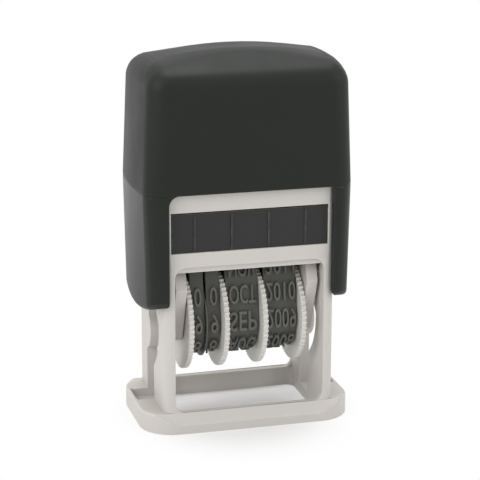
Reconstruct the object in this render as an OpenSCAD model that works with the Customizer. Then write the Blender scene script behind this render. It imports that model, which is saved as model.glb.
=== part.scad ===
// Self-inking date stamp. The hood slides down over a frame, and on the way the date unit turns over,
// from the ink pad above it to the paper below. The front is -Y and the origin is under the base's centre.
// All sizes are in millimetres.

/* [Date bands] */
// Width of each of the two day bands
digit_band_w = 2.8; // [2.4:0.1:3.4]
// Width of the month band and of the year band
word_band_w = 6.8; // [6:0.1:8]
// Thickness of a band without its type
band_t = 1; // [0.8:0.1:1.2]
// Height of the raised type on the bands
type_h = 0.7; // [0.5:0.1:0.9]
// Gap beside each band
band_side_gap = 0.15; // [0.1:0.05:0.2]
// Thickness of the divider between the two day bands
divider_t = 0.2; // [0.15:0.05:0.3]
// Radius of the divider
divider_r = 8.2; // [7.6:0.1:8.6]

/* [Thumb wheels] */
// Outer radius of the toothed thumb disc
disc_r = 10.5; // [10:0.1:11]
// Thickness of the thumb disc
disc_t = 1; // [0.8:0.1:1.2]
// Number of teeth round the thumb disc
disc_teeth = 60; // [48:6:72]
// Depth of those teeth
tooth_depth = 0.4; // [0.3:0.05:0.5]
// Radius of the hub that carries a band
hub_r = 6; // [5.6:0.1:6.3]
// Gap between the hub and its band
hub_gap = 0.2; // [0.15:0.05:0.3]
// Gap between neighbouring wheels along the axle
wheel_gap = 0.1; // [0.05:0.05:0.15]
// Radius of the wheel axle
axle_r = 1.25; // [1:0.05:1.5]

/* [Print bridge] */
// Distance of each rounded edge of the bridge from its middle
bridge_reach = 2.3; // [2:0.1:2.6]
// Radius of those edges
bridge_round = 1.1; // [0.9:0.05:1.3]
// Thickness of the bridge's web
bridge_web = 3.2; // [2.4:0.1:4]
// Depth of the bridge's web below its edges
bridge_web_h = 4.5; // [3.8:0.1:4.7]
// Gap between the bridge and the bands over it
bridge_gap = 0.1; // [0.05:0.05:0.2]
// Height of the fins that part the bands
fin_h = 0.8; // [0.5:0.1:1]

/* [Side cheeks] */
// Thickness of a cheek
cheek_t = 2.3; // [2:0.05:2.4]
// Gap between a cheek and the wheel beside it
cheek_gap = 0.25; // [0.15:0.05:0.35]
// How far the cheek's widest part stays inside the thumb discs' rim
cheek_inside = 1.1; // [0.8:0.1:1.6]
// How much the cheek narrows on each side from there to its foot
cheek_narrow = 3.8; // [3:0.1:4.4]
// Half of its depth at its top
cheek_top = 4; // [3.5:0.1:4.4]
// Radius of its lower corners
cheek_round = 2.8; // [1.5:0.1:3]
// Height of its shoulders above the pivot
cheek_rise = 4; // [3:0.1:4.4]
// How much it draws in from the pivot to the shoulders
cheek_taper = 1.6; // [1.2:0.1:2.4]
// How far its top lies below the bridge's top
cheek_inset = 0.3; // [0.1:0.1:0.8]
// How far the cheek reaches below the wheel axle
cheek_below = 3.8; // [3:0.1:4]
// Radius of the collar round the pivot
collar_r = 2.9; // [2.4:0.1:3.3]
// Length of that collar
collar_l = 0.3; // [0.2:0.05:0.5]

/* [Motion] */
// How far the hood travels when it is pressed
stroke = 19.2; // [18.6:0.1:19.4]
// Distance from the pivot to the type's printing face
pivot_to_type = 10; // [9.8:0.1:10.2]
// Distance from the pivot down to the wheel axle
pivot_to_axle = 8.5; // [8.2:0.1:8.8]
// Radius of the pivot pins
pivot_r = 1.25; // [1.1:0.05:1.3]
// Distance from the pivot to the follower pin
follower_arm = 4.4; // [4.2:0.1:4.5]
// Radius of the follower pin
follower_r = 1.5; // [1.3:0.05:1.55]

/* [Ink pad] */
// Gap between the type and the felt
ink_gap = 0.25; // [0.2:0.05:0.4]
// Thickness of the felt
felt_t = 4.8; // [4.4:0.1:5.2]
// Corner radius of the felt
felt_round = 0.8; // [0.4:0.1:2]
// How far the felt sits inside the tray's mouth
felt_recess = 1.95; // [1.6:0.05:2.2]
// Thickness of the tray's walls
tray_wall = 1.2; // [1:0.1:1.4]
// Thickness of the tray's roof
tray_roof = 1.3; // [1:0.1:1.6]
// Number of grip ribs on the tray's face
grip_ribs = 4; // [2:2:6]
// Distance between the grip ribs
grip_pitch = 7.65; // [4:0.05:7.7]
// Width of a grip rib
grip_w = 0.4; // [0.3:0.05:0.6]
// How far a grip rib stands out
grip_proud = 0.25; // [0.15:0.05:0.3]
// Distance from the tray's lower edge to a rib
grip_foot = 0.2; // [0:0.1:1]
// Distance from a rib to the tray's upper edge
grip_head = 0.6; // [0.2:0.1:1.5]

/* [Frame] */
// Thickness of the side walls
wall_t = 2.3; // [2.1:0.1:2.5]
// Gap between the cheek's collar and the side wall
wall_gap = 0.35; // [0.2:0.05:0.5]
// Room in front of the thumb discs inside the frame
disc_room = 0.95; // [0.8:0.05:1.1]
// Radius of the frame's upright outer corners
frame_round = 1.8; // [1.2:0.1:2.2]
// Thickness of the front and back bars
bar_t = 1.75; // [1.4:0.05:1.8]
// Depth of the step in the face of the lower bar
bar_step = 0.8; // [0.5:0.05:1]
// Height of the lower bar at its face
bar_h = 3; // [2.6:0.1:3.4]
// How far the lower bar's lip hangs below that face
bar_lip = 1.2; // [0.8:0.1:1.4]
// Radius in the window's upper corners
window_round = 2.3; // [1.5:0.1:2.6]
// Radius in the window's lower corners
foot_round = 1.8; // [1:0.1:2.2]
// Gap above and beside the ink pad tray
tray_gap = 0.2; // [0.1:0.05:0.3]
// How deep the tray's rails are cut into the side walls
rail_cut = 0.75; // [0.5:0.05:0.9]
// Thickness of the frame's top plate
top_t = 1.7; // [1.4:0.1:2]
// Height of the rim above that plate
rim_h = 2.7; // [2.2:0.1:3]
// Thickness of the rim at the front and back
rim_t = 1.2; // [1:0.1:1.5]

/* [Base] */
// Height of the base ring
base_h = 4.1; // [3.8:0.1:4.2]
// How far the base stands out past the hood at each end
base_end = 0.45; // [0.2:0.05:1]
// How far it stands out past the hood at the front and back
base_front = 0.1; // [0:0.05:0.5]
// Corner radius of the base
base_round = 7; // [5.5:0.1:8]
// Half of the depth of the opening in the base
base_open = 10.1; // [9.8:0.1:10.4]
// Height of the base's outer face below its bevel
base_lip = 1.9; // [1.4:0.1:2.6]
// Depth of that bevel from front to back
bevel_in = 1.5; // [1:0.1:1.5]
// Half of the length over which that bevel is full
bevel_reach = 14; // [12:0.5:14.5]
// Length over which each end of the bevel rises to the base's top
bevel_fade = 6.5; // [4:0.5:7]
// Depth of the channel below each cam slot
channel_h = 1.7; // [1.2:0.1:2]
// Length of that channel, out from the side wall
channel_l = 3.4; // [2.8:0.1:3.6]

/* [Hood] */
// Thickness of the hood's front and back walls
hood_wall = 1.25; // [1.15:0.05:1.5]
// Thickness of the hood's side walls at its widest
hood_side = 1.6; // [1.4:0.05:2]
// Gap between the hood and the frame's front and back
slide_gap = 0.2; // [0.15:0.05:0.3]
// Space between the frame's side walls and the hood
side_space = 2.15; // [1.9:0.05:2.4]
// Gap between the hood's guide ribs and the frame
guide_gap = 0.25; // [0.15:0.05:0.35]
// Thickness of a guide rib
guide_t = 1.2; // [1:0.1:1.5]
// Distance of the guide ribs from the middle
guide_reach = 7.4; // [6.8:0.1:7.6]
// Height of a guide rib
guide_h = 32; // [24:1:34]
// How far the hood's front edge laps over the frame's rim
hood_lap = 0.6; // [0.4:0.1:1]
// Half of the width of the hood's cut-out
cutout_half = 16.9; // [16.5:0.1:17]
// Corner radius at the cut-out's left
cutout_round = 2.2; // [1:0.1:3]
// Corner radius at the cut-out's right
cutout_tight = 0.8; // [0.5:0.1:2.2]
// How far the side legs reach below the pivot
leg_below = 4.7; // [4.4:0.1:5.2]
// Radius of the curve under each leg
leg_curve = 34; // [28:0.5:40]
// Radius of the legs' inner corners
leg_round = 1.4; // [0.8:0.1:1.8]
// How much each side draws in from the seam to the shoulder
shoulder_draft = 0.9; // [0.6:0.05:1]
// How much each side draws in from the seam to the leg's end
leg_draft = 0.6; // [0.3:0.05:0.8]
// Radius of the hood's rounded edges
edge_r = 4.2; // [3.6:0.1:4.6]
// Radius to which they grow along the front and back of its top
top_edge_r = 10; // [8:0.1:10.5]
// Radius of its shoulders
shoulder_r = 5.4; // [5:0.1:6]
// Radius of its crowned top
crown_r = 80; // [70:1:110]
// Thickness of its top in the middle
hood_top_t = 2.3; // [2.1:0.05:2.6]
// Radius of the boss round each pivot pin
boss_r = 3; // [2.6:0.1:3.4]

/* [Spring] */
// Radius of the spring's coil, to the middle of the wire
coil_r = 6.5; // [5:0.1:7]
// Thickness of the spring's wire
wire_d = 0.8; // [0.6:0.05:1]
// Number of turns
coil_turns = 7; // [5:1:8]
// Height of the spring when the hood is fully down
spring_short = 7.4; // [6.8:0.1:8]
// Thickness of the flat seat for the spring under the hood's top
seat_t = 0.6; // [0.5:0.05:0.8]
// Thickness of the cup round the spring's foot
cup_t = 1.2; // [1:0.1:1.6]
// Length of the stud inside the spring's head
stud_l = 5; // [3:0.1:6]
// Gap between that stud and the coil
stud_gap = 0.3; // [0.2:0.05:0.6]

/* [Hidden] */
$fn = 64;

// Colours
hood_black = [0.2, 0.21, 0.2];
frame_grey = [0.81, 0.79, 0.77];
tray_black = [0.23, 0.24, 0.23];
felt_black = [0.1, 0.1, 0.11];
band_rubber = [0.28, 0.29, 0.27];
wheel_grey = [0.8, 0.79, 0.77];
bridge_grey = [0.45, 0.46, 0.46];
steel = [0.75, 0.76, 0.78];

// Running gap of a turning pin, gap of a pressed pin, and how far a cut runs past what it cuts
run_gap = 0.05;
press_gap = 0.02;
past = 1;

// Heights at rest
pivot_z = stroke + pivot_to_type;
type_z = pivot_z + pivot_to_type;
axle_z = pivot_z - pivot_to_axle;
band_top_z = type_z - type_h;
bridge_z = band_top_z - band_t - bridge_gap - bridge_round;
felt_z = type_z + ink_gap;
tray_z = felt_z - felt_recess;
tray_top = felt_z + felt_t + tray_roof;
tunnel_top = tray_top + tray_gap;
plate_top = tunnel_top + top_t;
frame_top = plate_top + rim_h;
face_bar_z = tray_z - bar_h;
lip_z = face_bar_z - bar_lip;
seam_z = frame_top - hood_lap;
ceiling_z = plate_top + stroke + spring_short + seat_t;
hood_top = ceiling_z + hood_top_t;
leg_z = pivot_z - leg_below;

// Places along the wheel axle: each wheel's disc, hub and band
day_bay = 2 * digit_band_w + 4 * band_side_gap + divider_t;
word_bay = word_band_w + 2 * band_side_gap;
stack_half = (4 * disc_t + day_bay + 2 * word_bay) / 2;
tens_disc_x = -stack_half;
tens_band_x = tens_disc_x + disc_t + band_side_gap;
divider_x = tens_band_x + digit_band_w + band_side_gap;
units_band_x = divider_x + divider_t + band_side_gap;
units_disc_x = units_band_x + digit_band_w + band_side_gap;
month_band_x = units_disc_x + disc_t + band_side_gap;
month_disc_x = month_band_x + word_band_w + band_side_gap;
year_band_x = month_disc_x + disc_t + band_side_gap;
year_disc_x = year_band_x + word_band_w + band_side_gap;
disc_places = [tens_disc_x, units_disc_x, month_disc_x, year_disc_x];

// Half widths and half depths, from the wheels outward
cheek_in = stack_half + cheek_gap;
cheek_out = cheek_in + cheek_t;
inner_half = cheek_out + collar_l + wall_gap;
frame_half = inner_half + wall_t;
frame_deep = disc_r + disc_room;
bar_in = frame_deep - bar_t;
tunnel_half = inner_half + rail_cut;
tray_half = tunnel_half - tray_gap;
tray_deep = frame_deep - grip_proud;
hood_in = frame_half + side_space;
hood_half = hood_in + hood_side;
hood_deep_in = frame_deep + slide_gap;
hood_deep = hood_deep_in + hood_wall;
base_half = hood_half + base_end;
base_deep = hood_deep + base_front;

// Pins and clips: the clip's size, how far the axle stands out of it, and how deep the pins are set
clip_t = 0.6;
clip_rim = 0.8;
clip_gap = 0.1;
clip_room = 0.2;
axle_tip = 0.3;
axle_sunk = 0.1;
axle_end = cheek_out - axle_sunk;
clip_seat = axle_end - axle_tip - clip_t - clip_gap;
pin_inset = 0.05;
pin_seat = 0.6;
pin_in = cheek_in + pin_inset;
pin_end = hood_in + pin_seat;
follower_inset = 0.3;
follower_end = frame_half - follower_inset;

// Outline of the hood from the front: the crown's centre and the shoulders' centres
crown_z = hood_top - crown_r;
shoulder_half = hood_half - shoulder_draft;
shoulder_x = shoulder_half - shoulder_r;
shoulder_z = crown_z + sqrt(pow(crown_r - shoulder_r, 2) - pow(shoulder_x, 2));
shoulder_turn = atan2(shoulder_z - crown_z, shoulder_x);
hood_foot = leg_z - edge_r - past;

// Parts of the cam slot: a straight lower leg, an arc that leads forward, and a nose that turns the pin back
pin_room = 0.2;
follower_room = 0.3;
slot_front = pivot_r + pin_room;
slot_back = 5;
slot_floor = base_h - channel_h;
arc_r = 11;
arc_drop = 0.2;
arc_rise = 0.9;
arc_z = axle_z - arc_drop;
arc_end = arc_z + arc_rise;
arc_step = arc_r - sqrt(pow(arc_r, 2) - pow(arc_rise, 2));
arc_front = -(follower_arm + follower_r + follower_room);
arc_y = arc_front + arc_r;
nose_r = 4.5;
nose_rise = 7.5;
nose_z = pivot_to_type + nose_rise;
nose_y = slot_front + nose_r;
bend_r = 1;
bend_y = slot_back - bend_r;
bend_z = nose_z - sqrt(pow(nose_r + bend_r, 2) - pow(nose_y - bend_y, 2));

// Its upper pocket: the bulge behind the pivot, the stop above the pin, and its front edge above the beak
bulge_y = 3;
bulge_rise = 2.5;
bulge_z = arc_z + bulge_rise;
bulge_l = 4;
bulge_end = bulge_z + bulge_l;
stop_z = pivot_z + pivot_r + pin_room;
pocket_rise = 2.2;
pocket_z = stop_z + pocket_rise;
pocket_lean = 2.4;
beak_y = -4;
beak_rise = 2.1;
beak_z = arc_end + beak_rise;
pocket_notch = 1;

// Places a flat outline, drawn as (Y, Z), from x0 for a given length along X
module along_x(x0, length) {
    translate([x0, 0, 0]) rotate([90, 0, 90]) linear_extrude(length) children();
}

// Places a flat outline, drawn as (X, Z), from y0 for a given length along Y
module along_y(y0, length) {
    translate([0, y0 + length, 0]) rotate([90, 0, 0]) linear_extrude(length) children();
}

// A round bar along X at (y, z)
module rod_x(x0, length, radius, y, z) {
    translate([x0, y, z]) rotate([0, 90, 0]) cylinder(h = length, r = radius);
}

// Draws its children and their mirror image at the back or at the other side
module front_and_back() { children(); mirror([0, 1, 0]) children(); }
module both_sides() { children(); mirror([1, 0, 0]) children(); }

// A rectangle about the origin, with half sizes and a corner radius
module round_rect(half_x, half_y, radius) {
    square([2 * (half_x - radius), 2 * half_y], center = true);
    square([2 * half_x, 2 * (half_y - radius)], center = true);
    for (sx = [-1, 1], sy = [-1, 1])
        translate([sx * (half_x - radius), sy * (half_y - radius)]) circle(radius);
}

// What fills a square inner corner at the origin up to a given radius; it lies in the +X +Y quarter
module corner_fill(radius) {
    difference() {
        square(radius);
        translate([radius, radius]) circle(radius);
    }
}

// Base ring: the ends of its bevels rise in an S curve
fade_steps = 8;
module base_bevel() {
    rise = base_h - base_lip;
    overcut = past * rise / bevel_in;
    fade = [for (step = [0 : fade_steps])
        let (share = step / fade_steps)
        [bevel_reach + bevel_fade * share, base_lip + rise * share * share * (3 - 2 * share)]];
    far_fade = [for (step = [fade_steps : -1 : 0]) [-fade[step][0], fade[step][1]]];
    high = base_h + past;
    intersection() {
        along_x(-base_half, 2 * base_half)
            polygon([
                [-base_deep - past, base_lip - overcut],
                [-base_deep + bevel_in, base_h],
                [-base_deep + bevel_in, high],
                [-base_deep - past, high]
            ]);
        along_y(-base_deep - 2 * past, bevel_in + 3 * past)
            polygon(concat(far_fade, fade, [[fade[fade_steps][0], high], [-fade[fade_steps][0], high]]));
    }
}

module base_ring() {
    difference() {
        linear_extrude(base_h) round_rect(base_half, base_deep, base_round);
        translate([0, 0, -past])
            linear_extrude(base_h + 2 * past) round_rect(inner_half, base_open, foot_round);
        front_and_back() base_bevel();
    }
}

// Cam slot in a side wall, drawn as (Y, Z)
module cam_slot() {
    difference() {
        union() {
            translate([-slot_front, slot_floor]) square([slot_front + slot_back, nose_z - slot_floor]);
            intersection() {
                translate([arc_y, arc_z]) circle(arc_r);
                translate([arc_front, base_h]) square([bulge_y - arc_front, arc_end - base_h]);
            }
            polygon([
                [beak_y, arc_z], [arc_front, arc_z], [arc_front + arc_step, arc_end], [beak_y, beak_z],
                [arc_front - pocket_lean, pocket_z], [-slot_front - pocket_notch, pocket_z],
                [-slot_front, stop_z], [slot_front, stop_z],
                [slot_front, bulge_end], [bulge_y, bulge_z], [bulge_y, arc_z]
            ]);
        }
        translate([nose_y, nose_z]) circle(nose_r);
        difference() {
            polygon([[bend_y, bend_z], [slot_back + past, bend_z], [nose_y, nose_z]]);
            translate([bend_y, bend_z]) circle(bend_r);
        }
    }
}

module end_channel() {
    translate([inner_half - past, -slot_front, slot_floor])
        cube([past + wall_t + channel_l, slot_front + slot_back, base_h]);
}

// Front bars, above and below the ink pad, with the window's rounded corners
module front_bars() {
    translate([-inner_half - past, -frame_deep, face_bar_z])
        cube([2 * (inner_half + past), bar_step, frame_top - face_bar_z]);
    translate([-inner_half - past, -frame_deep + bar_step, lip_z])
        cube([2 * (inner_half + past), bar_t - bar_step, plate_top - lip_z]);
    both_sides() {
        along_y(-frame_deep, bar_step)
            translate([inner_half, face_bar_z]) rotate(180) corner_fill(window_round);
        along_y(-frame_deep, frame_deep - base_open)
            translate([inner_half, base_h]) mirror([1, 0]) corner_fill(foot_round);
    }
}

module frame() {
    cup_in = coil_r + wire_d;
    color(frame_grey) difference() {
        union() {
            base_ring();
            linear_extrude(frame_top) difference() {
                round_rect(frame_half, frame_deep, frame_round);
                square([2 * inner_half, 2 * frame_deep + past], center = true);
            }
            front_and_back() front_bars();
            translate([-inner_half - past, -bar_in, tunnel_top])
                cube([2 * (inner_half + past), 2 * bar_in, top_t]);
            front_and_back() translate([-inner_half - past, -frame_deep, tunnel_top])
                cube([2 * (inner_half + past), rim_t, frame_top - tunnel_top]);
            translate([0, 0, tunnel_top]) cylinder(h = frame_top - tunnel_top, r = cup_in + cup_t);
        }
        translate([-tunnel_half, -frame_deep - past, tray_z])
            cube([2 * tunnel_half, 2 * (frame_deep + past), tunnel_top - tray_z]);
        translate([0, 0, plate_top]) cylinder(h = rim_h + past, r = cup_in);
        both_sides() {
            along_x(inner_half - past, wall_t + 2 * past) cam_slot();
            end_channel();
        }
    }
}

// Ink pad cartridge: a tray open below, its felt, and grip ribs on both faces
module pad_tray() {
    grip_z = tray_z + grip_foot;
    grip_top = tray_top - grip_head;
    color(tray_black) difference() {
        union() {
            translate([-tray_half, -tray_deep, tray_z])
                cube([2 * tray_half, 2 * tray_deep, tray_top - tray_z]);
            front_and_back() for (rib = [0 : grip_ribs - 1])
                translate([(rib - (grip_ribs - 1) / 2) * grip_pitch - grip_w / 2, -frame_deep, grip_z])
                    cube([grip_w, grip_proud + past / 2, grip_top - grip_z]);
        }
        translate([-tray_half + tray_wall, -tray_deep + tray_wall, tray_z - past])
            cube([2 * (tray_half - tray_wall), 2 * (tray_deep - tray_wall), felt_recess + felt_t + past]);
    }
}

module ink_pad() {
    color(felt_black) translate([0, 0, felt_z]) linear_extrude(felt_t)
        round_rect(tray_half - tray_wall - press_gap, tray_deep - tray_wall - press_gap, felt_round);
}

// Return spring: one tube swept along a helix
rings_per_turn = 12;
wire_sides = 6;
spring_h = ceiling_z - seat_t - plate_top;
ring_count = coil_turns * rings_per_turn + 1;
spring_gap = 0.05;
helix_h = spring_h - wire_d - 2 * spring_gap;
function helix_point(ring) =
    let (turn = 360 * ring / rings_per_turn)
    [coil_r * cos(turn), coil_r * sin(turn),
     plate_top + spring_gap + wire_d / 2 + helix_h * ring / (ring_count - 1)];
function wire_ring(ring) =
    let (turn = 360 * ring / rings_per_turn, centre = helix_point(ring))
    [for (side = [0 : wire_sides - 1])
        let (around = 360 * side / wire_sides, out = cos(around) * wire_d / 2)
        centre + [out * cos(turn), out * sin(turn), sin(around) * wire_d / 2]];
least_coil_gap = min([for (a = [0 : ring_count - 1], b = [0 : ring_count - 1])
    if (b - a > rings_per_turn / 2) norm(helix_point(b) - helix_point(a))]) - wire_d;
echo(least_coil_gap = least_coil_gap);

module return_spring() {
    points = [for (ring = [0 : ring_count - 1]) each wire_ring(ring)];
    last = (ring_count - 1) * wire_sides;
    sides = [for (ring = [0 : ring_count - 2], side = [0 : wire_sides - 1])
        let (a = ring * wire_sides + side, b = ring * wire_sides + (side + 1) % wire_sides)
        [a, b, b + wire_sides, a + wire_sides]];
    first_end = [for (side = [wire_sides - 1 : -1 : 0]) side];
    last_end = [for (side = [0 : wire_sides - 1]) last + side];
    color(steel) polyhedron(points, concat([first_end, last_end], sides));
}

// Hood: a crowned slab with rounded edges, hollow inside, with legs on both sides. The slab is drawn with the
// radius of its edges, which grows along the shoulders to that of the top, and its inside is a smaller slab,
// moved in from the sides and down from the top.
module hood_slab(ball, side_in, top_in) {
    arc_steps = 6;
    grow = top_edge_r - edge_r;
    grow_power = 1.5;
    shoulder_path = [for (step = [0 : arc_steps])
        let (turn = shoulder_turn * step / arc_steps)
        [shoulder_x, shoulder_z, shoulder_r - edge_r, turn, grow * pow(step / arc_steps, grow_power)]];
    crown_path = [for (step = [1 : arc_steps])
        [0, crown_z, crown_r - edge_r, shoulder_turn + (90 - shoulder_turn) * step / arc_steps, grow]];
    side_path = [
        [hood_half - leg_draft - edge_r, hood_foot, 0, 0, 0],
        [hood_half - edge_r, seam_z, 0, 0, 0]
    ];
    hull() for (
        p = concat(side_path, shoulder_path, crown_path),
        roll = [0 : 15 : 90], sx = [-1, 1], sy = [-1, 1]
    ) {
        reach = p[2] - p[4] * (1 - sin(roll));
        translate([
            sx * (p[0] + reach * cos(p[3]) - side_in),
            sy * (hood_deep - edge_r - p[4] * (1 - cos(roll))),
            p[1] + reach * sin(p[3]) - top_in
        ]) sphere(ball, $fn = 32);
    }
}

// Cut-out in the hood's front and back, drawn as (X, Z), with the legs' rounded lower corners
module hood_cutout() {
    leg_front_z = leg_z + pow(hood_deep_in, 2) / (2 * leg_curve);
    square_top = seam_z - cutout_round;
    translate([-cutout_half, hood_foot]) square([2 * cutout_half, square_top - hood_foot]);
    translate([-cutout_half + cutout_round, hood_foot])
        square([2 * cutout_half - cutout_round - cutout_tight, seam_z - hood_foot]);
    translate([-cutout_half + cutout_round, square_top]) circle(cutout_round);
    translate([cutout_half - cutout_tight, square_top]) square([cutout_tight, cutout_round - cutout_tight]);
    translate([cutout_half - cutout_tight, seam_z - cutout_tight]) circle(cutout_tight);
    both_sides() translate([cutout_half, leg_front_z]) corner_fill(leg_round);
}

// Side outline of the hood, drawn as (Y, Z): the legs end in a shallow curve
module hood_side_outline() {
    wide = hood_deep + past;
    translate([0, leg_z + leg_curve]) circle(leg_curve, $fn = 128);
    translate([-wide, leg_z + leg_curve - sqrt(pow(leg_curve, 2) - pow(wide, 2))])
        square([2 * wide, hood_top + past - leg_z]);
}

module hood() {
    guide_z = pivot_z + boss_r + guide_gap;
    color(hood_black) difference() {
        union() {
            difference() {
                intersection() {
                    hood_slab(edge_r, 0, 0);
                    along_x(-hood_half - past, 2 * (hood_half + past)) hood_side_outline();
                }
                hood_slab(edge_r - hood_wall, hood_side - hood_wall, hood_top_t - hood_wall);
                along_y(-hood_deep - past, 2 * (hood_deep + past)) hood_cutout();
                translate([0, 0, ceiling_z - seat_t - past]) cylinder(h = past, r = coil_r + wire_d);
            }
            both_sides() {
                rod_x(frame_half + guide_gap, hood_side / 2 + side_space - guide_gap, boss_r, 0, pivot_z);
                front_and_back()
                    translate([frame_half + guide_gap, -guide_reach - guide_t / 2, guide_z])
                        cube([side_space - guide_gap + hood_side / 2, guide_t, guide_h]);
            }
            translate([0, 0, ceiling_z - stud_l])
                cylinder(h = stud_l + hood_top_t / 2, r = coil_r - wire_d - stud_gap);
            translate([0, 0, ceiling_z - seat_t])
                cylinder(h = seat_t + hood_top_t / 2, r = coil_r + wire_d);
        }
        both_sides()
            rod_x(frame_half, pin_end + press_gap - frame_half, pivot_r + press_gap, 0, pivot_z);
    }
}

module pivot_pin() { color(frame_grey) rod_x(pin_in, pin_end - pin_in, pivot_r, 0, pivot_z); }
module pivot_pin_left() { mirror([1, 0, 0]) pivot_pin(); }
module pivot_pin_right() { pivot_pin(); }

// Side cheek of the date unit, drawn as (Y, Z) and then raised by the collar round its pivot
module cheek_outline() {
    bottom = axle_z - cheek_below;
    head = bridge_z + bridge_round - cheek_inset;
    shoulder = pivot_z + cheek_rise;
    wide = disc_r - cheek_inside;
    corner = wide - cheek_narrow - cheek_round;
    corner_z = bottom + cheek_round;
    from_corner = [wide - corner, pivot_z - corner_z];
    lean = atan2(from_corner[1], from_corner[0]) - acos(cheek_round / norm(from_corner));
    flank = [corner, corner_z] + cheek_round * [cos(lean), sin(lean)];
    polygon([
        [-cheek_top, head], [cheek_top, head], [wide - cheek_taper, shoulder], [wide, pivot_z],
        flank, [corner, bottom], [-corner, bottom],
        [-flank[0], flank[1]], [-wide, pivot_z], [-wide + cheek_taper, shoulder]
    ]);
    for (side = [-1, 1]) translate([side * corner, corner_z]) circle(cheek_round);
}

// Tenons of the bridge in the cheeks
tenon_w = 2;
tenon_h = 2.4;
tenon_drop = 2.4;
tenon_z = bridge_z - tenon_drop;

module cheek() {
    follower_z = pivot_z - follower_arm;
    color(frame_grey) difference() {
        union() {
            along_x(cheek_in, cheek_t) cheek_outline();
            rod_x(cheek_in, cheek_t + collar_l, collar_r, 0, pivot_z);
        }
        rod_x(cheek_in - past, cheek_t + collar_l + 2 * past, pivot_r + run_gap, 0, pivot_z);
        rod_x(cheek_in - past, cheek_t + 2 * past, axle_r + press_gap, 0, axle_z);
        rod_x(clip_seat, cheek_t, axle_r + clip_rim + clip_room, 0, axle_z);
        rod_x(cheek_in - past, cheek_t + collar_l + 2 * past, follower_r + press_gap, 0, follower_z);
        translate([cheek_in - past, -tenon_w / 2 - press_gap, tenon_z - tenon_h / 2 - press_gap])
            cube([cheek_t + 2 * past, tenon_w + 2 * press_gap, tenon_h + 2 * press_gap]);
    }
}
module cheek_left() { mirror([1, 0, 0]) cheek(); }
module cheek_right() { cheek(); }

module follower_pin() {
    color(frame_grey) rod_x(cheek_in, follower_end - cheek_in, follower_r, 0, pivot_z - follower_arm);
}
module follower_pin_left() { mirror([1, 0, 0]) follower_pin(); }
module follower_pin_right() { follower_pin(); }

// Print bridge: a rounded head over a web, drawn as (Y, Z), with fins between the bands
fin_inset = 0.1;
module bridge_head(extra) {
    edge = bridge_round + extra;
    for (side = [-1, 1]) translate([side * bridge_reach, bridge_z]) circle(edge);
    translate([-bridge_reach, bridge_z - edge]) square([2 * bridge_reach, 2 * edge]);
}

module print_bridge() {
    color(bridge_grey) union() {
        along_x(-cheek_in, 2 * cheek_in) {
            bridge_head(0);
            translate([-bridge_web / 2, bridge_z - bridge_web_h]) square([bridge_web, bridge_web_h]);
        }
        for (x = disc_places) along_x(x + fin_inset, disc_t - 2 * fin_inset) bridge_head(fin_h);
        translate([-cheek_out, -tenon_w / 2, tenon_z - tenon_h / 2]) cube([2 * cheek_out, tenon_w, tenon_h]);
    }
}

module wheel_axle() { color(steel) rod_x(-axle_end, 2 * axle_end, axle_r, 0, axle_z); }

// Push-on clip at each end of the wheel axle
module axle_clip() {
    color(steel) difference() {
        rod_x(clip_seat + clip_gap, clip_t, axle_r + clip_rim, 0, axle_z);
        rod_x(clip_seat, clip_t + past, axle_r + press_gap, 0, axle_z);
    }
}
module axle_clip_left() { mirror([1, 0, 0]) axle_clip(); }
module axle_clip_right() { axle_clip(); }

// Thin divider between the two day bands
module day_divider() {
    color(wheel_grey) difference() {
        rod_x(divider_x, divider_t, divider_r, 0, axle_z);
        rod_x(divider_x - past, divider_t + 2 * past, axle_r + run_gap, 0, axle_z);
    }
}

// Thumb wheel: a toothed disc and a hub beside it. Each tooth's half width at its tip and root is a share of
// the pitch.
tooth_half = 0.16;
root_half = 0.36;
module thumb_wheel(disc_x, hub_x, hub_w) {
    tooth = 360 / disc_teeth;
    root_r = disc_r - tooth_depth;
    notch = [[tooth_half, disc_r], [root_half, root_r], [1 - root_half, root_r], [1 - tooth_half, disc_r]];
    rim = [for (i = [0 : disc_teeth - 1], edge = notch)
        edge[1] * [cos((i + edge[0]) * tooth), sin((i + edge[0]) * tooth)]];
    color(wheel_grey) difference() {
        union() {
            along_x(disc_x, disc_t) translate([0, axle_z]) polygon(rim);
            rod_x(hub_x, hub_w, hub_r, 0, axle_z);
        }
        rod_x(disc_x - day_bay - word_bay, 2 * (day_bay + word_bay), axle_r + run_gap, 0, axle_z);
    }
}

digit_hub = digit_band_w + 2 * band_side_gap - wheel_gap;
word_hub = word_bay - wheel_gap;
module wheel_day_tens() { thumb_wheel(tens_disc_x, tens_disc_x + disc_t, digit_hub); }
module wheel_day_units() { thumb_wheel(units_disc_x, units_disc_x - digit_hub, digit_hub); }
module wheel_month() { thumb_wheel(month_disc_x, month_disc_x - word_hub, word_hub); }
module wheel_year() { thumb_wheel(year_disc_x, year_disc_x - word_hub, word_hub); }

// Date band: a belt round a wheel's hub and over the bridge. A loop is drawn as (Y, Z) from its two radii.
module band_loop(hub_radius, edge_radius) {
    rise = bridge_z - axle_z;
    reach = norm([bridge_reach, rise]);
    lean = atan2(rise, bridge_reach) - acos((hub_radius - edge_radius) / reach);
    toward = [cos(lean), sin(lean)];
    low = [0, axle_z] + hub_radius * toward;
    high = [bridge_reach, bridge_z] + edge_radius * toward;
    translate([0, axle_z]) circle(hub_radius);
    for (side = [-1, 1]) translate([side * bridge_reach, bridge_z]) circle(edge_radius);
    polygon([low, high, [-high[0], high[1]], [-low[0], low[1]]]);
    translate([-bridge_reach, bridge_z]) square([2 * bridge_reach, edge_radius]);
}

module date_band(x0, width) {
    inner_hub = hub_r + hub_gap;
    inner_edge = bridge_round + bridge_gap;
    color(band_rubber) along_x(x0, width) difference() {
        band_loop(inner_hub + band_t, inner_edge + band_t);
        band_loop(inner_hub, inner_edge);
    }
}

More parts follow.
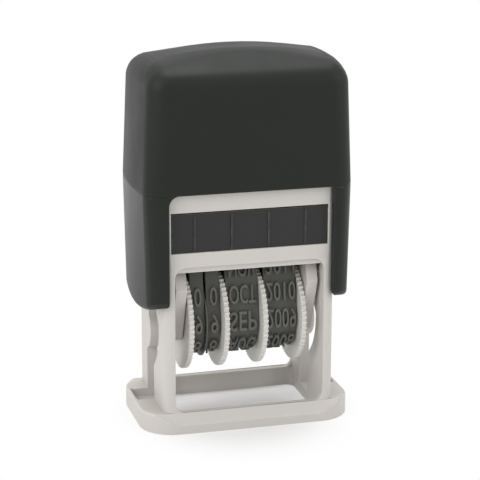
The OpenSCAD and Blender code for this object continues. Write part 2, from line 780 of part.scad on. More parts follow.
module band_day_tens() { date_band(tens_band_x, digit_band_w); }
module band_day_units() { date_band(units_band_x, digit_band_w); }
module band_month() { date_band(month_band_x, word_band_w); }
module band_year() { date_band(year_band_x, word_band_w); }

frame();
pad_tray();
ink_pad();
return_spring();
hood();
pivot_pin_left();
pivot_pin_right();
cheek_left();
cheek_right();
print_bridge();
wheel_axle();
axle_clip_left();
axle_clip_right();
follower_pin_left();
follower_pin_right();
day_divider();
band_day_tens();
band_day_units();
band_month();
band_year();
wheel_day_tens();
wheel_day_units();
wheel_month();
wheel_year();
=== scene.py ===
"""Looks of the self-inking date stamp: moulded plastic with rounded edges, rubber date bands with raised
type, a steel return spring, plain studio light and the photograph's camera. Sizes in millimetres are times
MM."""
import math

import bmesh
import bpy
from mathutils import Matrix, Vector


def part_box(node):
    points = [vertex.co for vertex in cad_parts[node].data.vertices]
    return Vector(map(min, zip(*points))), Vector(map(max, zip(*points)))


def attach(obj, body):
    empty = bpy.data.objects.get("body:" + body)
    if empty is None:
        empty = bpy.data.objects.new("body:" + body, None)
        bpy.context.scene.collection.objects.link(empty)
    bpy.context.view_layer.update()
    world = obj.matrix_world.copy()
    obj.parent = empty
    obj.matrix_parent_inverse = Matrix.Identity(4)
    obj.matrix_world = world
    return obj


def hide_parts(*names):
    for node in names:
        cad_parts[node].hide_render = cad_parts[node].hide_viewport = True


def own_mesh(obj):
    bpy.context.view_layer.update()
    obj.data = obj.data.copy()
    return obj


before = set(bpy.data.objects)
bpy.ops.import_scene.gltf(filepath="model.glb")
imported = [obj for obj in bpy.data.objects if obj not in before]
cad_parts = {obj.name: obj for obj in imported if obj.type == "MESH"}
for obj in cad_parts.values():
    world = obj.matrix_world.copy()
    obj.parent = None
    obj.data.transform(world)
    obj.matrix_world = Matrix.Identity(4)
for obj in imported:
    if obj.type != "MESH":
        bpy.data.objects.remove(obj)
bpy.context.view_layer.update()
MM = 0.001

# Camera of the photograph
AIM = Vector((0.96, 0, 36.29)) * MM
CAMERA_DISTANCE = 378.91 * MM
CAMERA_AZIMUTH = math.radians(-15.43)
CAMERA_ELEVATION = math.radians(15.38)
CAMERA_ROLL = math.radians(0.15)
FOCAL_PIXELS = 1841.49
PHOTO_WIDTH = 480

# Light that the white surroundings throw on the stamp, where 1 is as bright as they look
WORLD_LIGHT = 0.6

# Shadow on the floor: how far from the middle it shows in full and where it ends, how it is squeezed to an
# oval, and the share of the backdrop's white in it
SHADOW_FULL = 6
SHADOW_END = 21.5
SHADOW_SQUEEZE = (0.75, 0.6, 1)
SHADOW_WHITE = 0.1

# Rounding of the pieces' edges: widths, and the steps of each curve
HOOD_ROUND = 0.22
LEG_FOOT_ROUND = 0.9
FRAME_ROUND = 0.15
BASE_RIM_ROUND = 0.4
TRAY_ROUND = 0.13
CHEEK_ROUND = 0.12
BRIDGE_ROUND = 0.1
WHEEL_ROUND = 0.07
BAND_ROUND = 0.12
ROUND_STEPS = 2
HOOD_STEPS = 3
LEG_FOOT_STEPS = 5
BASE_RIM_STEPS = 3

# Angles in degrees: bends that get a soft rounding or a plain one, and bends that still look smooth
SOFT_BEND = 20
PLAIN_BEND = 32
MOULDED_SMOOTH = 40
TYPE_SMOOTH = 30
WIRE_SMOOTH = 60

# Points that are joined, and edges that are closed up
JOIN_DISTANCE = 0.002
SHORT_EDGE = 0.08

# Boxes for one quarter of the stamp, each from its low to its high corner: corners of the hood and the frame
# that no rounding fits into, rims at the base's ends, and feet of the hood's legs
HOOD_CORNERS = ((15, 10, 24), (19, 13, 27.5))
FRAME_CORNERS = ((12.5, 8.5, 3.9), (17, 13, 4.3))
BASE_RIM = ((20.3, -1, 3.9), (23, 11, 4.2))
LEG_FEET = ((16.5, -1, 24), (23, 14, 28))
LEG_INSIDE = 17.1

# Slopes by which a face counts as upright, as the base's top, as a leg's side or as a leg's underside
BASE_UPRIGHT = 0.02
BASE_LYING = 0.3
LEG_UPRIGHT = 0.3
LEG_SIDEWAYS = 0.9
LEG_DOWNWARD = -0.7

# Run of a date band, on its outer face: over the bridge's two edges and round the wheel's hub
AXLE_Z = 20.7
BRIDGE_Z = 36.3
BRIDGE_REACH = 2.3
EDGE_RADIUS = 2.2
HUB_RADIUS = 7.2
RISE = BRIDGE_Z - AXLE_Z
SPAN = math.hypot(BRIDGE_REACH, RISE)
LEAN = math.atan2(RISE, BRIDGE_REACH) - math.acos((HUB_RADIUS - EDGE_RADIUS) / SPAN)
EDGE_END = BRIDGE_REACH + EDGE_RADIUS * (math.pi / 2 - LEAN)
RUN_END = EDGE_END + math.sqrt(SPAN ** 2 - (HUB_RADIUS - EDGE_RADIUS) ** 2)
HALF_LOOP = RUN_END + HUB_RADIUS * (LEAN + math.pi / 2)

# Raised type: places round a band, height of the figures and of their relief, how deep they root in the band,
# and how far the rows sit off centre
TYPE_PLACES = 12
FIGURE_HEIGHT = 3.9
TYPE_RELIEF = 0.7
TYPE_ROOT = 0.1
ROW_SHIFT = -0.9

# Making of the type: capitals' share of the font's size, curve steps, half of the flat type's thickness,
# swelling of the strokes, and cuts across a row so that it bends
CAP_SHARE = 0.729
TYPE_CURVE_STEPS = 3
TYPE_HALF = 0.5
TYPE_SWELL = 0.04
TYPE_CUTS = 5

# Width of the words on each kind of band, and the share of it that a 1 takes
DAY_WIDTH = 1.5
MONTH_WIDTH = 5.6
YEAR_WIDTH = 6.2
ONE_SHARE = 0.9

# Words on the bands, from the printing face down the front and round. They fall by one from row to row, and a
# day band has two blank places.
DAY_ROWS = ["1", "", "", "0", "9", "8", "7", "6", "5", "4", "3", "2"]
MONTH_ROWS = ["JAN", "DEC", "NOV", "OCT", "SEP", "AUG", "JUL", "JUN", "MAY", "APR", "MAR", "FEB"]
YEAR_ROWS = ["2013", "2012", "2011", "2010", "2009", "2008", "2007", "2006", "2017", "2016", "2015", "2014"]

# Parting line of the hood: its height, the outside that it runs round, its ends beside the front opening, its
# width and depth, and the half width of its bottom
SEAM_Z = 49.55
SEAM_SIDE = 20
SEAM_FRONT = 12.2
SEAM_END = 17.5
SEAM_WIDTH = 0.36
SEAM_DEPTH = 0.14
SEAM_BOTTOM = SEAM_WIDTH / 8

# Share of its roughness that the hood keeps just below the parting line and at the foot of its legs
LEG_FOOT_Z = 26.9
SEAM_ROUGH_SHARE = 0.66
FOOT_ROUGH_SHARE = 0.88

# Sides of the hood: half width at the parting line, its draft down to a height, and the skin that bulges
HOOD_HALF = 21.55
LEG_DRAFT = 0.6
DRAFT_FOOT_Z = 20.2
HOOD_SKIN = 0.95

# Bulge of the hood: half length of a flat side, bulge there and on the shoulders, how steeply the shoulders'
# bulge fades, where the shoulders begin, and the cuts that let each half of a side bend, with the least slope
# that they cut
SIDE_FLAT = 8.7
SIDE_BULGE = 0.44
SHOULDER_BULGE = 0.3
SHOULDER_FADE = 1.3
SHOULDER_INSIDE = 12
SIDE_CUTS = 6
SIDE_SLOPE = 0.05

# Return spring
SPRING_TURNS = 7
SPRING_RADIUS = 6.5
WIRE_RADIUS = 0.4
WIRE_SIDES = 12
TURN_STEPS = 32

# Moulded finishes: colour drift and broken patches of the rims' wear and painted highlight, per metre, and
# strength of the grain
DRIFT_SCALE = 90
BREAK_SCALE = 600
GRAIN_STRENGTH = 0.5


# Shader helpers
def put(tree, kind, **values):
    """A node with its settings and the defaults of its named inputs."""
    node = tree.nodes.new(kind)
    for key, value in values.items():
        if hasattr(node, key):
            setattr(node, key, value)
        else:
            node.inputs[key.replace("_", " ")].default_value = value
    return node


def new_group(name, inputs, outputs):
    """An empty shader group with named sockets, its input node and its output node."""
    group = bpy.data.node_groups.new(name, "ShaderNodeTree")
    for socket, kind in inputs:
        group.interface.new_socket(socket, in_out="INPUT", socket_type=kind)
    for socket, kind in outputs:
        group.interface.new_socket(socket, in_out="OUTPUT", socket_type=kind)
    return group, group.nodes.new("NodeGroupInput"), group.nodes.new("NodeGroupOutput")


COLOUR = "NodeSocketColor"
NUMBER = "NodeSocketFloat"


def make_mould_skin():
    """Surface of a moulded piece: slow colour drift, uneven sheen and the fine grain of the mould."""
    sockets_in = [("Tone", COLOUR), ("Drift Tone", COLOUR), ("Drift", NUMBER), ("Grain", NUMBER),
                  ("Sheen Low", NUMBER), ("Sheen High", NUMBER)]
    sockets_out = [("Tone", COLOUR), ("Roughness", NUMBER), ("Height", NUMBER)]
    group, given, made = new_group("mould_skin", sockets_in, sockets_out)
    place = put(group, "ShaderNodeTexCoord")
    drift = put(group, "ShaderNodeTexNoise", Detail=3.0, Roughness=0.55)
    grain = put(group, "ShaderNodeTexNoise", Detail=2.0, Roughness=0.6)
    mixed = put(group, "ShaderNodeMix", data_type="RGBA")
    sheen = put(group, "ShaderNodeMapRange", From_Min=0.3, From_Max=0.7)
    link = group.links.new
    for texture in (drift, grain):
        link(place.outputs["Object"], texture.inputs["Vector"])
    link(given.outputs["Drift"], drift.inputs["Scale"])
    link(given.outputs["Grain"], grain.inputs["Scale"])
    link(drift.outputs["Fac"], mixed.inputs["Factor"])
    link(given.outputs["Tone"], mixed.inputs[6])
    link(given.outputs["Drift Tone"], mixed.inputs[7])
    link(drift.outputs["Fac"], sheen.inputs["Value"])
    link(given.outputs["Sheen Low"], sheen.inputs["To Min"])
    link(given.outputs["Sheen High"], sheen.inputs["To Max"])
    link(mixed.outputs[2], made.inputs["Tone"])
    link(sheen.outputs["Result"], made.inputs["Roughness"])
    link(grain.outputs["Fac"], made.inputs["Height"])
    return group


def make_worn_highlit_rim():
    """Rounded edges, marked on the mesh as rim, take a second, lighter tone in broken patches: partly wear,
    partly a painted highlight along the edges.
    """
    sockets_in = [("Tone", COLOUR), ("Rim Tone", COLOUR), ("Amount", NUMBER), ("Break", NUMBER)]
    group, given, made = new_group("worn_highlit_rim", sockets_in, [("Tone", COLOUR)])
    rim = put(group, "ShaderNodeAttribute", attribute_name="rim")
    place = put(group, "ShaderNodeTexCoord")
    patches = put(group, "ShaderNodeTexNoise", Detail=3.0)
    broken = put(group, "ShaderNodeMapRange", From_Min=0.35, From_Max=0.65, To_Min=0.25)
    on_rim = put(group, "ShaderNodeMath", operation="MULTIPLY")
    share = put(group, "ShaderNodeMath", operation="MULTIPLY", use_clamp=True)
    mixed = put(group, "ShaderNodeMix", data_type="RGBA")
    link = group.links.new
    link(place.outputs["Object"], patches.inputs["Vector"])
    link(given.outputs["Break"], patches.inputs["Scale"])
    link(patches.outputs["Fac"], broken.inputs["Value"])
    link(rim.outputs["Fac"], on_rim.inputs[0])
    link(broken.outputs["Result"], on_rim.inputs[1])
    link(on_rim.outputs["Value"], share.inputs[0])
    link(given.outputs["Amount"], share.inputs[1])
    link(share.outputs["Value"], mixed.inputs["Factor"])
    link(given.outputs["Tone"], mixed.inputs[6])
    link(given.outputs["Rim Tone"], mixed.inputs[7])
    link(mixed.outputs[2], made.inputs["Tone"])
    return group


mould_skin = make_mould_skin()
worn_highlit_rim = make_worn_highlit_rim()


def tone(red, green, blue):
    """A colour written as it looks on screen, 0 to 255, as the shader needs it."""
    def linear(value):
        share = value / 255
        return share / 12.92 if share <= 0.04045 else ((share + 0.055) / 1.055) ** 2.4
    return (linear(red), linear(green), linear(blue), 1)


def moulded(name, look, drift_look, rim_look, rim_amount, grain, bump, sheen, specular=0.5, metallic=0.0):
    """A moulded finish from the skin and rim groups. Grain is per metre and bump its depth in millimetres."""
    finish = bpy.data.materials.new(name)
    finish.use_nodes = True
    tree = finish.node_tree
    shader = tree.nodes["Principled BSDF"]
    shader.inputs["Specular IOR Level"].default_value = specular
    shader.inputs["Metallic"].default_value = metallic
    skin = put(tree, "ShaderNodeGroup", node_tree=mould_skin)
    skin.inputs["Tone"].default_value = look
    skin.inputs["Drift Tone"].default_value = drift_look
    skin.inputs["Drift"].default_value = DRIFT_SCALE
    skin.inputs["Grain"].default_value = grain
    skin.inputs["Sheen Low"].default_value = sheen[0]
    skin.inputs["Sheen High"].default_value = sheen[1]
    rim = put(tree, "ShaderNodeGroup", node_tree=worn_highlit_rim)
    rim.inputs["Rim Tone"].default_value = rim_look
    rim.inputs["Amount"].default_value = rim_amount
    rim.inputs["Break"].default_value = BREAK_SCALE
    relief = put(tree, "ShaderNodeBump", Strength=GRAIN_STRENGTH, Distance=bump * MM)
    tree.links.new(skin.outputs["Tone"], rim.inputs["Tone"])
    tree.links.new(rim.outputs["Tone"], shader.inputs["Base Color"])
    tree.links.new(skin.outputs["Roughness"], shader.inputs["Roughness"])
    tree.links.new(skin.outputs["Height"], relief.inputs["Height"])
    tree.links.new(relief.outputs["Normal"], shader.inputs["Normal"])
    return finish


# Each finish's rim look is a lighter tone on its rounded edges: partly wear, partly a painted highlight.
hood_black = moulded("hood_black", look=tone(27, 30, 27), drift_look=tone(32, 35, 32),
                     rim_look=tone(56, 59, 55), rim_amount=0.5,
                     grain=2600, bump=0.02, sheen=(0.44, 0.52), specular=0.22)
frame_grey = moulded("frame_grey", look=tone(205, 201, 195), drift_look=tone(199, 195, 189),
                     rim_look=tone(216, 212, 206), rim_amount=0.5,
                     grain=2200, bump=0.015, sheen=(0.4, 0.5), specular=0.4)
tray_black = moulded("tray_black", look=tone(31, 33, 31), drift_look=tone(36, 38, 36),
                     rim_look=tone(84, 87, 83), rim_amount=0.8,
                     grain=2600, bump=0.02, sheen=(0.5, 0.6), specular=0.4)
wheel_grey = moulded("wheel_grey", look=tone(217, 215, 209), drift_look=tone(209, 207, 201),
                     rim_look=tone(228, 226, 221), rim_amount=0.6,
                     grain=2600, bump=0.01, sheen=(0.36, 0.46), specular=0.45)
divider_grey = moulded("divider_grey", look=tone(98, 97, 94), drift_look=tone(92, 91, 88),
                       rim_look=tone(112, 111, 108), rim_amount=0.4,
                       grain=2600, bump=0.01, sheen=(0.4, 0.5), specular=0.45)
bridge_grey = moulded("bridge_grey", look=tone(120, 121, 120), drift_look=tone(110, 111, 110),
                      rim_look=tone(140, 141, 140), rim_amount=0.5,
                      grain=2600, bump=0.015, sheen=(0.45, 0.55))
band_rubber = moulded("band_rubber", look=tone(76, 77, 73), drift_look=tone(86, 87, 83),
                      rim_look=tone(101, 102, 97), rim_amount=0.5,
                      grain=3200, bump=0.03, sheen=(0.55, 0.7), specular=0.4)
type_rubber = moulded("type_rubber", look=tone(92, 93, 88), drift_look=tone(104, 105, 100),
                      rim_look=tone(110, 111, 106), rim_amount=0.5,
                      grain=3600, bump=0.02, sheen=(0.5, 0.66), specular=0.4)
felt_ink = moulded("felt_ink", look=tone(22, 22, 25), drift_look=tone(36, 36, 40),
                   rim_look=tone(36, 36, 40), rim_amount=0,
                   grain=5200, bump=0.12, sheen=(0.75, 0.95), specular=0.3)
bright_steel = moulded("bright_steel", look=tone(196, 198, 202), drift_look=tone(178, 180, 185),
                       rim_look=tone(205, 207, 210), rim_amount=0.5,
                       grain=4200, bump=0.006, sheen=(0.22, 0.34), metallic=1.0)


def smooth_lower_half(finish):
    """Makes the lower half of the hood smoother than the upper, most of all just below the parting line."""
    tree = finish.node_tree
    shader = tree.nodes["Principled BSDF"]
    place = put(tree, "ShaderNodeTexCoord")
    height = put(tree, "ShaderNodeSeparateXYZ")
    lower = put(tree, "ShaderNodeMapRange", From_Min=LEG_FOOT_Z * MM, From_Max=SEAM_Z * MM,
                To_Min=FOOT_ROUGH_SHARE, To_Max=SEAM_ROUGH_SHARE)
    share = put(tree, "ShaderNodeMapRange", From_Min=(SEAM_Z - SEAM_BOTTOM) * MM,
                From_Max=(SEAM_Z + SEAM_BOTTOM) * MM, To_Max=1.0)
    scaled = put(tree, "ShaderNodeMath", operation="MULTIPLY")
    rough = shader.inputs["Roughness"].links[0].from_socket
    link = tree.links.new
    link(place.outputs["Object"], height.inputs["Vector"])
    link(height.outputs["Z"], lower.inputs["Value"])
    link(height.outputs["Z"], share.inputs["Value"])
    link(lower.outputs["Result"], share.inputs["To Min"])
    link(rough, scaled.inputs[0])
    link(share.outputs["Result"], scaled.inputs[1])
    link(scaled.outputs["Value"], shader.inputs["Roughness"])


smooth_lower_half(hood_black)


# Meshes
def to_piece(name, bm, finish, body, smooth_angle=MOULDED_SMOOTH, even_shading=True):
    """Turns a bmesh into a shown piece that rides on a body. Even shading keeps flat faces flat beside a
    rounding."""
    mesh = bpy.data.meshes.new(name)
    bm.to_mesh(mesh)
    bm.free()
    imported_normals = mesh.attributes.get("custom_normal")
    if imported_normals:
        mesh.attributes.remove(imported_normals)
    mesh.shade_smooth()
    mesh.set_sharp_from_angle(angle=math.radians(smooth_angle))
    mesh.materials.append(finish)
    piece = bpy.data.objects.new(name, mesh)
    bpy.context.scene.collection.objects.link(piece)
    if even_shading:
        even = piece.modifiers.new("even_shading", "WEIGHTED_NORMAL")
        even.keep_sharp = True
    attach(piece, body)
    return piece


def joined_copy(node):
    """A bmesh of a CAD node, with its loose triangles joined and its shortest edges closed up."""
    bm = bmesh.new()
    bm.from_mesh(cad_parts[node].data)
    bmesh.ops.remove_doubles(bm, verts=bm.verts, dist=JOIN_DISTANCE * MM)
    bmesh.ops.dissolve_degenerate(bm, dist=SHORT_EDGE * MM, edges=bm.edges)
    return bm


def lies_in(edge, box):
    """Whether the middle of an edge lies in a box, given in millimetres for one quarter of the stamp."""
    low, high = box
    middle = (edge.verts[0].co + edge.verts[1].co) / 2 / MM
    quarter = (abs(middle.x), abs(middle.y), middle.z)
    return all(low[k] < quarter[k] < high[k] for k in range(3))


def stands_out(edge, angle):
    """Whether the faces beside an edge meet in an outer bend of more than an angle."""
    return edge.is_manifold and edge.is_convex and edge.calc_face_angle() > math.radians(angle)


def round_edges(bm, edges, width, steps):
    """Rounds edges to a width in millimetres and marks the new faces as rim, which takes the worn and
    painted-highlight tone.
    """
    rim = bm.faces.layers.float["rim"]
    rounded = bmesh.ops.bevel(bm, geom=edges, offset=width * MM, offset_type="OFFSET", segments=steps,
                              profile=0.5, affect="EDGES", clamp_overlap=False, material=-1)
    for face in rounded["faces"]:
        face[rim] = 1


def moulded_piece(node, finish, body, width, steps=ROUND_STEPS, corners=None, soft=None, last_cut=None,
                  even_shading=True):
    """A CAD node's shape with the soft edges of a moulding, shown in place of the node. No rounding fits into
    the corners, soft is a choice of edges that are rounded first, with their width and steps, and last_cut is
    made in the rounded shape."""
    bm = joined_copy(node)
    bm.faces.layers.float.new("rim")
    if soft:
        chooses, soft_width, soft_steps = soft
        chosen = [edge for edge in bm.edges if stands_out(edge, SOFT_BEND) and chooses(edge)]
        round_edges(bm, chosen, soft_width, soft_steps)
    sharp = [edge for edge in bm.edges if stands_out(edge, PLAIN_BEND)]
    if corners:
        sharp = [edge for edge in sharp if not lies_in(edge, corners)]
    round_edges(bm, sharp, width, steps)
    if last_cut:
        last_cut(bm)
    piece = to_piece(node + "_moulded", bm, finish, body, even_shading=even_shading)
    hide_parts(node)


# Edges and cuts of the hood and the frame
def on_base_rim(edge):
    """An edge round an end of the base, where its upright face meets the top."""
    upright = any(abs(face.normal.z) < BASE_UPRIGHT for face in edge.link_faces)
    lying = any(face.normal.z > BASE_LYING for face in edge.link_faces)
    return upright and lying and lies_in(edge, BASE_RIM)


def on_leg_foot(edge):
    """An edge round the lower end of a hood leg, on its outside or beside the front opening."""
    middle = (edge.verts[0].co + edge.verts[1].co) / 2
    upright = [face.normal for face in edge.link_faces if abs(face.normal.z) < LEG_UPRIGHT]
    outside = any(normal.x * middle.x + normal.y * middle.y > 0 for normal in upright)
    sideways = any(abs(normal.x) > LEG_SIDEWAYS for normal in upright)
    by_opening = sideways and abs(middle.x) < LEG_INSIDE * MM
    below = any(face.normal.z < LEG_DOWNWARD for face in edge.link_faces)
    return (outside or by_opening) and below and lies_in(edge, LEG_FEET)


def on_hood_side(vertex):
    """How much a point belongs to the outside of the hood's sides: 1 there, fading over the shoulders, and 0
    elsewhere."""
    x, z = abs(vertex.co.x) / MM, vertex.co.z / MM
    if z > SEAM_Z + SEAM_WIDTH:
        outside = x > SHOULDER_INSIDE and vertex.normal.x * vertex.co.x > 0
        return abs(vertex.normal.x) if outside else 0
    half = HOOD_HALF - LEG_DRAFT * (SEAM_Z - z) / (SEAM_Z - DRAFT_FOOT_Z)
    return 1 if x > half - HOOD_SKIN else 0


def on_shoulder(vertex):
    """How much a point belongs to the hood's shoulders: 1 where they slope by half, fading to the top and the
    sides."""
    slope = vertex.normal
    outside = vertex.co.z > (SEAM_Z + SEAM_WIDTH) * MM and slope.z > 0 and slope.x * vertex.co.x > 0
    return (2 * abs(slope.x) * slope.z) ** SHOULDER_FADE if outside else 0


def bulge_sides(bm):
    """Bulges the hood's flat sides and its shoulders, between the roundings of its front and back corners."""
    for cut in range(-SIDE_CUTS, SIDE_CUTS + 1):
        flat = [face for face in bm.faces if abs(face.normal.x) > SIDE_SLOPE]
        edges = dict.fromkeys(edge for face in flat for edge in face.edges)
        verts = dict.fromkeys(vertex for face in flat for vertex in face.verts)
        level = SIDE_FLAT * cut / (SIDE_CUTS + 0.5) * MM
        bmesh.ops.bisect_plane(bm, geom=list(verts) + list(edges) + flat,
                               plane_co=(0, level, 0), plane_no=(0, 1, 0))
    bm.normal_update()
    shifts = []
    for vertex in bm.verts:
        inner = max(0, 1 - (vertex.co.y / (SIDE_FLAT * MM)) ** 2)
        outward = Vector((math.copysign(SIDE_BULGE * on_hood_side(vertex), vertex.co.x), 0, 0))
        shifts.append((outward + vertex.normal * SHOULDER_BULGE * on_shoulder(vertex)) * inner * MM)
    for vertex, shift in zip(bm.verts, shifts):
        vertex.co += shift
    bm.normal_update()


def score_seam(bm):
    """Scores the line where the two halves of the hood's mould part, round its sides and legs."""
    for level in (SEAM_Z - SEAM_WIDTH / 2, SEAM_Z, SEAM_Z + SEAM_WIDTH / 2):
        geometry = bm.verts[:] + bm.edges[:] + bm.faces[:]
        bmesh.ops.bisect_plane(bm, geom=geometry, plane_co=(0, 0, level * MM), plane_no=(0, 0, 1))
    bm.normal_update()
    for vertex in bm.verts:
        x, y, z = (abs(value) / MM for value in vertex.co)
        outward = Vector((vertex.normal.x, vertex.normal.y, 0))
        on_side = x > SEAM_SIDE or (y > SEAM_FRONT and x > SEAM_END)
        if on_side and abs(z - SEAM_Z) < SEAM_BOTTOM and outward.dot(vertex.co) > 0:
            vertex.co -= outward.normalized() * SEAM_DEPTH * MM


def finish_hood(bm):
    bulge_sides(bm)
    score_seam(bm)


# Raised type
def on_band(along, lift):
    """Where a point lies that is so far along the band from the middle of its printing face, towards the
    front, and so far off the band, as (Y, Z)."""
    loop = 2 * HALF_LOOP
    along = (along + HALF_LOOP) % loop - HALF_LOOP
    side = -1 if along >= 0 else 1
    gone = abs(along)
    if gone <= BRIDGE_REACH:
        y, z = gone, BRIDGE_Z + EDGE_RADIUS + lift
    elif gone <= EDGE_END:
        turn = math.pi / 2 - (gone - BRIDGE_REACH) / EDGE_RADIUS
        y = BRIDGE_REACH + (EDGE_RADIUS + lift) * math.cos(turn)
        z = BRIDGE_Z + (EDGE_RADIUS + lift) * math.sin(turn)
    elif gone <= RUN_END:
        share = (gone - EDGE_END) / (RUN_END - EDGE_END)
        radius = EDGE_RADIUS + (HUB_RADIUS - EDGE_RADIUS) * share + lift
        y = BRIDGE_REACH * (1 - share) + radius * math.cos(LEAN)
        z = BRIDGE_Z - RISE * share + radius * math.sin(LEAN)
    else:
        turn = LEAN - (gone - RUN_END) / HUB_RADIUS
        y = (HUB_RADIUS + lift) * math.cos(turn)
        z = AXLE_Z + (HUB_RADIUS + lift) * math.sin(turn)
    return side * y, z


def flat_type(words, width):
    """A row of raised type as a flat bmesh, in millimetres, with X across the band and Y up the figures."""
    curve = bpy.data.curves.new("type_row", "FONT")
    curve.body = words
    curve.align_x = "CENTER"
    curve.align_y = "CENTER"
    curve.size = FIGURE_HEIGHT / CAP_SHARE
    curve.resolution_u = TYPE_CURVE_STEPS
    curve.extrude = TYPE_HALF
    curve.offset = TYPE_SWELL
    text = bpy.data.objects.new("type_row", curve)
    bpy.context.scene.collection.objects.link(text)
    bpy.context.view_layer.update()
    mesh = bpy.data.meshes.new_from_object(text)
    bm = bmesh.new()
    bm.from_mesh(mesh)
    bpy.data.objects.remove(text)
    bpy.data.curves.remove(curve)
    bpy.data.meshes.remove(mesh)
    bmesh.ops.remove_doubles(bm, verts=bm.verts, dist=JOIN_DISTANCE)
    low = [min(v.co[k] for v in bm.verts) for k in range(3)]
    high = [max(v.co[k] for v in bm.verts) for k in range(3)]
    middle = Vector((low[0] + high[0], low[1] + high[1], 0)) / 2
    bmesh.ops.translate(bm, verts=bm.verts, vec=-middle)
    across = width / (high[0] - low[0])
    bmesh.ops.scale(bm, verts=bm.verts, vec=(across, FIGURE_HEIGHT / (high[1] - low[1]), 1))
    return bm


def add_type(bm, words, width, middle_x, row):
    """Bends a row of type round the band at a place along it and adds it to bm. The figures stand in mirror
    writing."""
    flat = flat_type(words, width)
    for cut in range(TYPE_CUTS):
        level = FIGURE_HEIGHT * ((cut + 1) / (TYPE_CUTS + 1) - 0.5)
        geometry = flat.verts[:] + flat.edges[:] + flat.faces[:]
        bmesh.ops.bisect_plane(flat, geom=geometry, plane_co=(0, level, 0), plane_no=(0, 1, 0))
    for vertex in flat.verts:
        lift = (vertex.co.z + TYPE_HALF) * (TYPE_RELIEF + TYPE_ROOT) - TYPE_ROOT
        y, z = on_band(row + vertex.co.y, lift)
        vertex.co = Vector((middle_x + vertex.co.x, y, z)) * MM
    mesh = bpy.data.meshes.new("row")
    flat.to_mesh(mesh)
    flat.free()
    bm.from_mesh(mesh)
    bpy.data.meshes.remove(mesh)


def band_type(band, rows, width):
    """All the raised type of one band, as one piece."""
    low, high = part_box("band_" + band)
    middle_x = (low.x + high.x) / 2 / MM
    pitch = 2 * HALF_LOOP / TYPE_PLACES
    bm = bmesh.new()
    for place, words in enumerate(rows):
        if words:
            wide = width * ONE_SHARE if words == "1" else width
            add_type(bm, words, wide, middle_x, place * pitch + ROW_SHIFT)
    bmesh.ops.recalc_face_normals(bm, faces=bm.faces)
    to_piece("type_" + band, bm, type_rubber, "date_unit", TYPE_SMOOTH)


def coil_spring():
    """The return spring, a round wire spun up a screw line, which shortens when the hood is pressed."""
    low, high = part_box("return_spring")
    wire = WIRE_RADIUS * MM
    steps = SPRING_TURNS * TURN_STEPS
    rise = high.z - low.z - 2 * wire
    bm = bmesh.new()
    ring = bmesh.ops.create_circle(bm, segments=WIRE_SIDES, radius=wire)
    bmesh.ops.rotate(bm, verts=ring["verts"], matrix=Matrix.Rotation(math.pi / 2, 3, "X"))
    bmesh.ops.translate(bm, verts=ring["verts"], vec=(SPRING_RADIUS * MM, 0, low.z + wire))
    bmesh.ops.spin(bm, geom=bm.verts[:] + bm.edges[:], cent=(0, 0, 0), axis=(0, 0, 1),
                   dvec=(0, 0, rise / steps), angle=2 * math.pi * SPRING_TURNS, steps=steps)
    bmesh.ops.holes_fill(bm, edges=bm.edges, sides=0)
    bmesh.ops.recalc_face_normals(bm, faces=bm.faces)
    spring = to_piece("spring_coil", bm, bright_steel, "frame", WIRE_SMOOTH)
    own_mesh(spring)
    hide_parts("return_spring")


# Pieces. The hood is curved all over, so it goes without even shading.
moulded_piece("hood", hood_black, "hood", HOOD_ROUND, HOOD_STEPS, corners=HOOD_CORNERS,
              soft=(on_leg_foot, LEG_FOOT_ROUND, LEG_FOOT_STEPS), last_cut=finish_hood, even_shading=False)
moulded_piece("frame", frame_grey, "frame", FRAME_ROUND, corners=FRAME_CORNERS,
              soft=(on_base_rim, BASE_RIM_ROUND, BASE_RIM_STEPS))
moulded_piece("pad_tray", tray_black, "frame", TRAY_ROUND)
for side in ("left", "right"):
    moulded_piece("cheek_" + side, frame_grey, "date_unit", CHEEK_ROUND)
moulded_piece("print_bridge", bridge_grey, "date_unit", BRIDGE_ROUND)
for wheel in ("day_tens", "day_units", "month", "year"):
    moulded_piece("wheel_" + wheel, wheel_grey, "wheel_" + wheel, WHEEL_ROUND)
    moulded_piece("band_" + wheel, band_rubber, "date_unit", BAND_ROUND)
band_type("day_tens", DAY_ROWS, DAY_WIDTH)
band_type("day_units", DAY_ROWS, DAY_WIDTH)
band_type("month", MONTH_ROWS, MONTH_WIDTH)
band_type("year", YEAR_ROWS, YEAR_WIDTH)
coil_spring()

CAD_FINISHES = {
    "ink_pad": felt_ink, "day_divider": divider_grey, "wheel_axle": bright_steel,
    "pivot_pin_left": frame_grey, "pivot_pin_right": frame_grey,
    "axle_clip_left": bright_steel, "axle_clip_right": bright_steel,
    "follower_pin_left": frame_grey, "follower_pin_right": frame_grey,
}
for node, finish in CAD_FINISHES.items():
    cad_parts[node].data.materials.clear()
    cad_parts[node].data.materials.append(finish)


# Studio
def seen_rays(tree):
    """A socket that is 1 for what is seen, mirrored or looked through, and 0 for light that falls on the
    stamp."""
    rays = put(tree, "ShaderNodeLightPath")
    seen = put(tree, "ShaderNodeMath", operation="MAXIMUM")
    seen_too = put(tree, "ShaderNodeMath", operation="MAXIMUM")
    link = tree.links.new
    link(rays.outputs["Is Camera Ray"], seen.inputs[0])
    link(rays.outputs["Is Glossy Ray"], seen.inputs[1])
    link(seen.outputs["Value"], seen_too.inputs[0])
    link(rays.outputs["Is Transmission Ray"], seen_too.inputs[1])
    return seen_too.outputs["Value"]


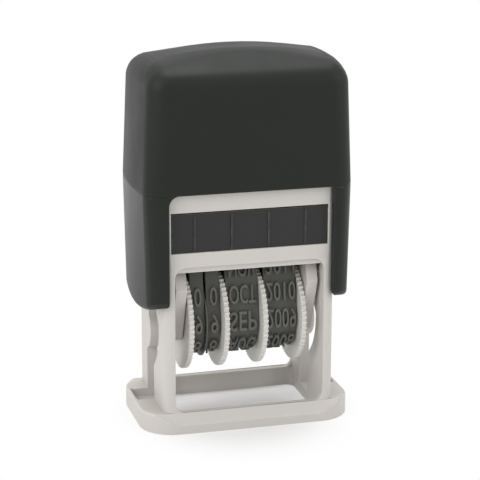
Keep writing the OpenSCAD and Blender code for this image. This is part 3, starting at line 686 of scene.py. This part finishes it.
def floor_finish():
    """White seamless floor: plain matt white for light, with the backdrop's white blended in for what is
    seen."""
    finish = bpy.data.materials.new("floor_white")
    finish.use_nodes = True
    tree = finish.node_tree
    shader = tree.nodes["Principled BSDF"]
    shader.inputs["Base Color"].default_value = (0.9, 0.9, 0.9, 1)
    shader.inputs["Roughness"].default_value = 0.9
    shader.inputs["Specular IOR Level"].default_value = 0.1
    glow = put(tree, "ShaderNodeEmission", Strength=1.0)
    place = put(tree, "ShaderNodeTexCoord")
    oval = put(tree, "ShaderNodeMapping", Scale=SHADOW_SQUEEZE)
    length = put(tree, "ShaderNodeVectorMath", operation="LENGTH")
    fade = put(tree, "ShaderNodeMapRange", interpolation_type="SMOOTHSTEP",
               From_Min=SHADOW_FULL * MM, From_Max=SHADOW_END * MM, To_Min=SHADOW_WHITE, To_Max=1.0)
    share = put(tree, "ShaderNodeMath", operation="MULTIPLY")
    blend = put(tree, "ShaderNodeMixShader")
    link = tree.links.new
    link(place.outputs["Object"], oval.inputs["Vector"])
    link(oval.outputs["Vector"], length.inputs[0])
    link(length.outputs["Value"], fade.inputs["Value"])
    link(fade.outputs["Result"], share.inputs[0])
    link(seen_rays(tree), share.inputs[1])
    link(share.outputs["Value"], blend.inputs["Fac"])
    link(shader.outputs["BSDF"], blend.inputs[1])
    link(glow.outputs["Emission"], blend.inputs[2])
    link(blend.outputs["Shader"], tree.nodes["Material Output"].inputs["Surface"])
    return finish


def studio_floor():
    bm = bmesh.new()
    bmesh.ops.create_grid(bm, x_segments=4, y_segments=4, size=3)
    mesh = bpy.data.meshes.new("studio_floor")
    bm.to_mesh(mesh)
    bm.free()
    mesh.materials.append(floor_finish())
    floor = bpy.data.objects.new("studio_floor", mesh)
    bpy.context.scene.collection.objects.link(floor)


def studio_world():
    """White surroundings for what is seen and mirrored, and a softer level for the light that falls on the
    stamp."""
    world = bpy.data.worlds.new("studio_white")
    world.use_nodes = True
    bpy.context.scene.world = world
    tree = world.node_tree
    around = tree.nodes["Background"]
    around.inputs["Color"].default_value = (1, 1, 1, 1)
    level = put(tree, "ShaderNodeMapRange", To_Min=WORLD_LIGHT, To_Max=1.0)
    tree.links.new(seen_rays(tree), level.inputs["Value"])
    tree.links.new(level.outputs["Result"], around.inputs["Strength"])


def soft_lamp(name, place, size, watts):
    """A square soft box that faces the middle of the stamp. Its place and size are in metres."""
    lamp = bpy.data.lights.new(name, "AREA")
    lamp.shape = "SQUARE"
    lamp.size = size
    lamp.energy = watts
    box = bpy.data.objects.new(name, lamp)
    bpy.context.scene.collection.objects.link(box)
    box.location = place
    box.rotation_mode = "QUATERNION"
    box.rotation_quaternion = (AIM - box.location).to_track_quat("-Z", "Y")


def photo_camera():
    camera = bpy.data.cameras.new("photo_camera")
    camera.sensor_width = 36
    camera.lens = camera.sensor_width * FOCAL_PIXELS / PHOTO_WIDTH
    camera.clip_start = 0.01
    camera.clip_end = 20
    holder = bpy.data.objects.new("photo_camera", camera)
    bpy.context.scene.collection.objects.link(holder)
    level_share = math.cos(CAMERA_ELEVATION)
    back = Vector((math.sin(CAMERA_AZIMUTH) * level_share, -math.cos(CAMERA_AZIMUTH) * level_share,
                   math.sin(CAMERA_ELEVATION)))
    holder.location = AIM + back * CAMERA_DISTANCE
    holder.rotation_mode = "QUATERNION"
    turn = (-back).to_track_quat("-Z", "Y")
    holder.rotation_quaternion = turn @ Matrix.Rotation(CAMERA_ROLL, 3, "Z").to_quaternion()
    bpy.context.scene.camera = holder


studio_floor()
studio_world()
soft_lamp("lamp_left", place=(-0.74, -0.34, 0.5), size=0.6, watts=3.2)
soft_lamp("lamp_top", place=(0.05, 0.13, 0.8), size=0.45, watts=3.0)
soft_lamp("lamp_right", place=(0.6, -0.4, 0.35), size=0.5, watts=1.1)
photo_camera()
bpy.context.scene.view_settings.view_transform = "Standard"
